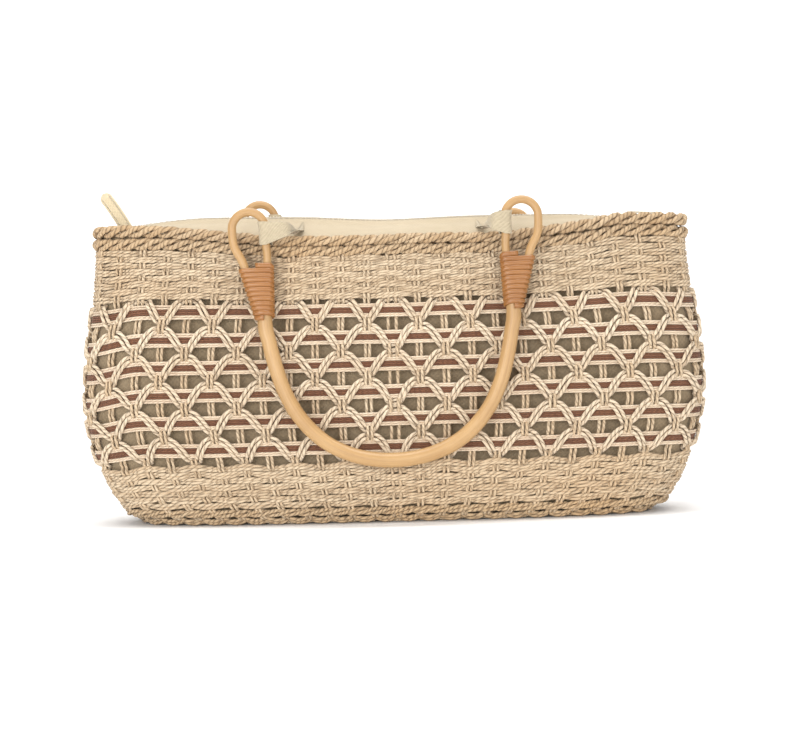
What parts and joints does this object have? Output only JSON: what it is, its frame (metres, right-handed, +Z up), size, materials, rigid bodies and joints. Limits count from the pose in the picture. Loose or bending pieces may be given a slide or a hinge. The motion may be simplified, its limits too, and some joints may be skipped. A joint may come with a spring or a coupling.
{
  "type": "straw handbag",
  "caption": "Wide woven straw handbag with an openwork lattice middle, cloth lining, zipped cloth top and a bent cane handle hanging on each face.",
  "frame": {"origin": "middle of the underside of the flat base", "axes": "+Z up, front face towards -Y, +X along the bag's width, to the right as seen from the front"},
  "size_m": [0.4104, 0.1247, 0.2198],
  "materials": {
    "straw": "twisted beige cord in a close plain weave",
    "openwork_cord": "pairs of twisted beige cords tied over level bars with reddish-brown strands",
    "lining_cloth": "plain taupe-brown woven cloth",
    "top_cloth": "off-white twill",
    "zip": "cream tape with cream moulded teeth",
    "zip_metal": "plain pale metal",
    "cane": "golden peeled cane, satin",
    "binding": "orange-brown split cane wound tight, glossy"
  },
  "bodies": {
    "root": {"base_panel": "straw", "bottom_border": "straw", "lower_band": "straw", "openwork": "openwork_cord", "upper_band": "straw", "rim_braid": "straw", "lining": "lining_cloth", "front_top_panel": "top_cloth", "back_top_panel": "top_cloth", "zip_tape": "zip", "zip_teeth": "zip", "zip_slider": "zip_metal", "zip_pull": "zip_metal", "zip_tail": "top_cloth", "front_handle": "cane", "front_left_binding": "binding", "front_left_tab": "top_cloth", "front_right_binding": "binding", "front_right_tab": "top_cloth", "back_handle": "cane", "back_left_binding": "binding", "back_left_tab": "top_cloth", "back_right_binding": "binding", "back_right_tab": "top_cloth"}
  },
  "joints": []
}
